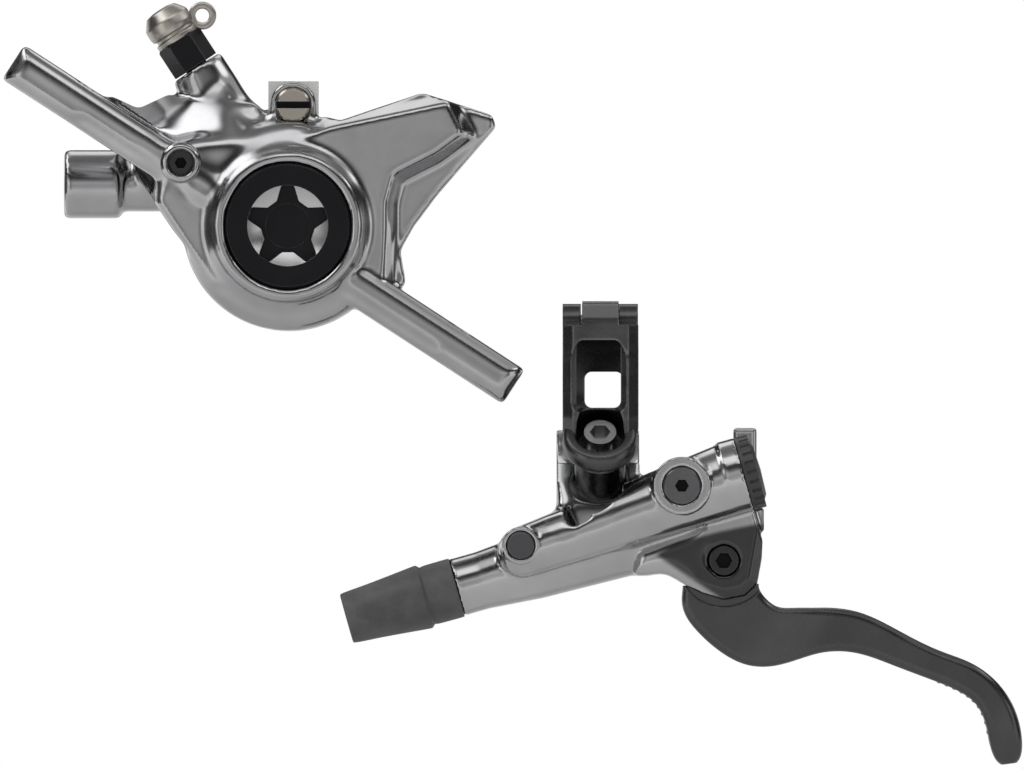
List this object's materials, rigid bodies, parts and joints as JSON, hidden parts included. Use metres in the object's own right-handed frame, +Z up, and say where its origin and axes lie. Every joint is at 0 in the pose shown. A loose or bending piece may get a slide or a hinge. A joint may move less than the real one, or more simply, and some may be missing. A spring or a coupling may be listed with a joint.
{
  "type": "hydraulic disc brake",
  "caption": "Bicycle hydraulic disc brake set: lever with master cylinder and bar clamp, and a post-mount caliper with opposed pistons.",
  "frame": {"origin": "centre of the handlebar bore of the lever clamp", "axes": "+X along the handlebar, +Z up in the picture, +Y away from the shown faces"},
  "size_m": [0.1699, 0.0403, 0.1278],
  "materials": {
    "cast_bright": "polished silver-grey anodised forging",
    "cast_grey": "polished mid-grey anodised forging",
    "dark_satin": "dark grey satin anodised aluminium",
    "black_alloy": "black anodised",
    "steel": "machined steel",
    "dark_steel": "blackened steel",
    "warm_steel": "warm grey passivated steel",
    "plate_steel": "thin pressed steel",
    "bronze_cap": "warm grey satin moulding",
    "black_rubber": "matte rubber",
    "black_plastic": "ribbed moulding",
    "friction": "sintered friction block",
    "brass": "plain turned brass",
    "bearing": "plain bearing polymer"
  },
  "bodies": {
    "root": {"lever_body": "cast_bright", "clamp_front_half": "dark_satin", "clamp_rear_half": "dark_satin", "clamp_hinge_pin": "steel", "clamp_bolt": "dark_steel", "reservoir_cap": "black_plastic", "reservoir_diaphragm": "black_rubber", "bleed_screw": "dark_steel", "bleed_screw_oring": "black_rubber", "side_plug": "dark_steel", "blade_pivot_bolt": "dark_steel", "plunger_snap_ring": "steel", "master_return_spring": "steel", "hose_flange_nut": "dark_steel", "hose_olive": "brass", "hose_insert": "brass", "hose_boot": "black_rubber", "caliper_body": "cast_grey", "bore_cap": "black_alloy", "bore_cap_seal": "black_rubber", "pad_spring": "plate_steel", "pad_axle": "warm_steel", "pad_axle_clip": "steel", "port_grub_screw": "dark_steel", "piston_seal_near": "black_rubber", "piston_seal_far": "black_rubber"},
    "blade": {"lever_blade": "dark_satin", "cam_roller": "steel", "cam_roller_pin": "steel", "blade_bush_near": "bearing", "blade_bush_far": "bearing", "blade_return_spring": "steel"},
    "master_train": {"push_plunger": "steel", "master_piston": "black_plastic", "master_primary_seal": "black_rubber", "master_secondary_seal": "black_rubber"},
    "pad_near_set": {"piston_near": "bearing", "pad_plate_near": "plate_steel", "pad_lining_near": "friction"},
    "pad_far_set": {"piston_far": "bearing", "pad_plate_far": "plate_steel", "pad_lining_far": "friction"},
    "nipple": {"bleed_nipple": "black_alloy", "nipple_cap": "bronze_cap"}
  },
  "joints": [
    {"name": "blade_pull", "type": "hinge", "parent": "root", "child": "blade", "pos_m": [0.02065, -0.0035, -0.02925], "axis": [0, -1, 0], "range_deg": [0, 28], "stiffness_Nm_per_rad": 0.15, "springref_deg": -34.38},
    {"name": "master_stroke", "type": "slide", "parent": "root", "child": "master_train", "axis": [-0.9625, 0, -0.2714], "range_m": [0, 0.00389], "deforming": ["master_return_spring"]},
    {"name": "near_piston_stroke", "type": "slide", "parent": "root", "child": "pad_near_set", "axis": [0, 1, 0], "range_m": [0, 0.000359]},
    {"name": "far_piston_stroke", "type": "slide", "parent": "root", "child": "pad_far_set", "axis": [0, -1, 0], "range_m": [0, 0.000359]},
    {"name": "nipple_turn", "type": "hinge", "parent": "root", "child": "nipple", "pos_m": [-0.0673, -0.0005, 0.053], "axis": [-0.5446, 0, 0.8387], "range_deg": [0, 90]}
  ],
  "couplings": [
    {"joint": "master_stroke", "follows": "blade_pull", "m_per_rad": 0.0079124},
    {"joint": "near_piston_stroke", "follows": "blade_pull", "m_per_rad": 0.00071459},
    {"joint": "far_piston_stroke", "follows": "blade_pull", "m_per_rad": 0.00071459}
  ]
}
